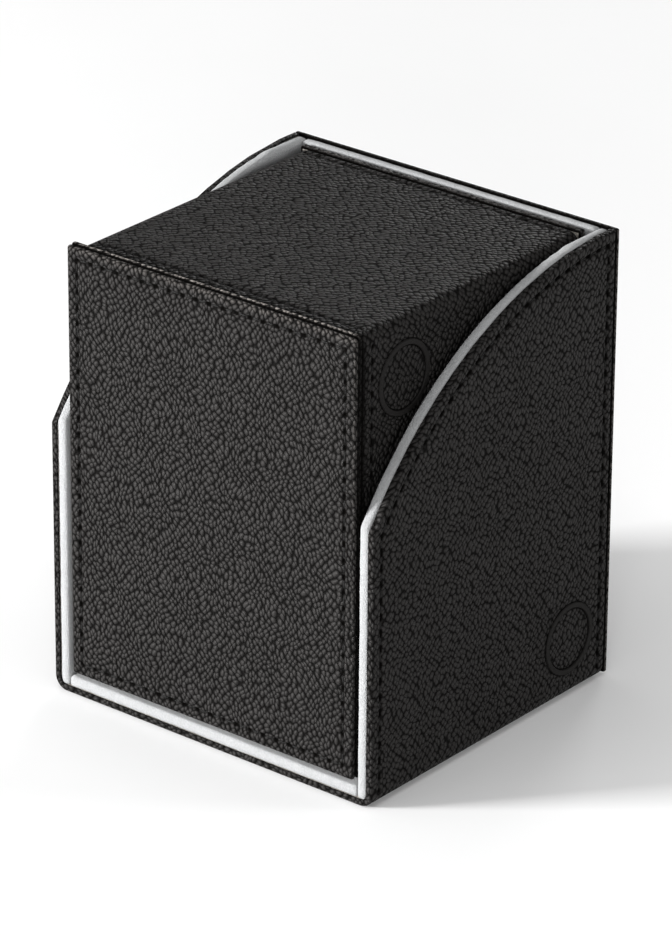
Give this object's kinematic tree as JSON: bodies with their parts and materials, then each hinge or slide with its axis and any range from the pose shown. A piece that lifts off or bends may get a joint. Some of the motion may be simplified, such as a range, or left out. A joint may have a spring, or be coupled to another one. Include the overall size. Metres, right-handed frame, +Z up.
{
  "type": "card deck box",
  "caption": "Leatherette-covered box for a deck of trading cards: a card box with a stitched front panel drops into an open-front shell with curved sides and a plush liner.",
  "frame": {"origin": "centre of the shell's bottom face, on the surface that the box stands on", "axes": "+Z up, +X to the right and -Y towards the open front, where the card box's stitched panel is seen"},
  "size_m": [0.084, 0.078, 0.1002],
  "materials": {
    "black_leatherette": "pebble-grained, satin",
    "grey_plush": "short dense nap, matte",
    "greyboard": "uncoated binder's board, matte",
    "thread": "twisted polyester thread, slight sheen",
    "magnet": "nickel-plated disc"
  },
  "bodies": {
    "shell": {"shell_back_board": "greyboard", "shell_back_leather": "black_leatherette", "shell_back_liner_board": "greyboard", "shell_back_liner_cloth": "grey_plush", "shell_back_stitching": "thread", "shell_bottom_board": "greyboard", "shell_bottom_liner_board": "greyboard", "shell_bottom_liner_cloth": "grey_plush", "shell_left_board": "greyboard", "shell_left_liner_board": "greyboard", "shell_left_liner_cloth": "grey_plush", "shell_left_magnet": "magnet", "shell_left_stitching": "thread", "shell_right_board": "greyboard", "shell_right_liner_board": "greyboard", "shell_right_liner_cloth": "grey_plush", "shell_right_magnet": "magnet", "shell_right_stitching": "thread", "shell_wrap_leather": "black_leatherette"},
    "card_box": {"box_back_board": "greyboard", "box_back_leather": "black_leatherette", "box_back_lining": "grey_plush", "box_back_seam_stitching": "thread", "box_front_board": "greyboard", "box_front_lining": "grey_plush", "box_front_seam_stitching": "thread", "box_left_board": "greyboard", "box_left_lining": "grey_plush", "box_lower_left_magnet": "magnet", "box_lower_right_magnet": "magnet", "box_right_board": "greyboard", "box_right_lining": "grey_plush", "box_top_board": "greyboard", "box_top_lining": "grey_plush", "box_upper_left_magnet": "magnet", "box_upper_right_magnet": "magnet", "box_wrap_leather": "black_leatherette", "front_panel_backing": "black_leatherette", "front_panel_board": "greyboard", "front_panel_leather": "black_leatherette", "front_panel_stitching": "thread"}
  },
  "joints": [
    {"name": "box_lift", "type": "slide", "parent": "shell", "child": "card_box", "axis": [0, 0, 1], "range_m": [0, 0.1]}
  ]
}
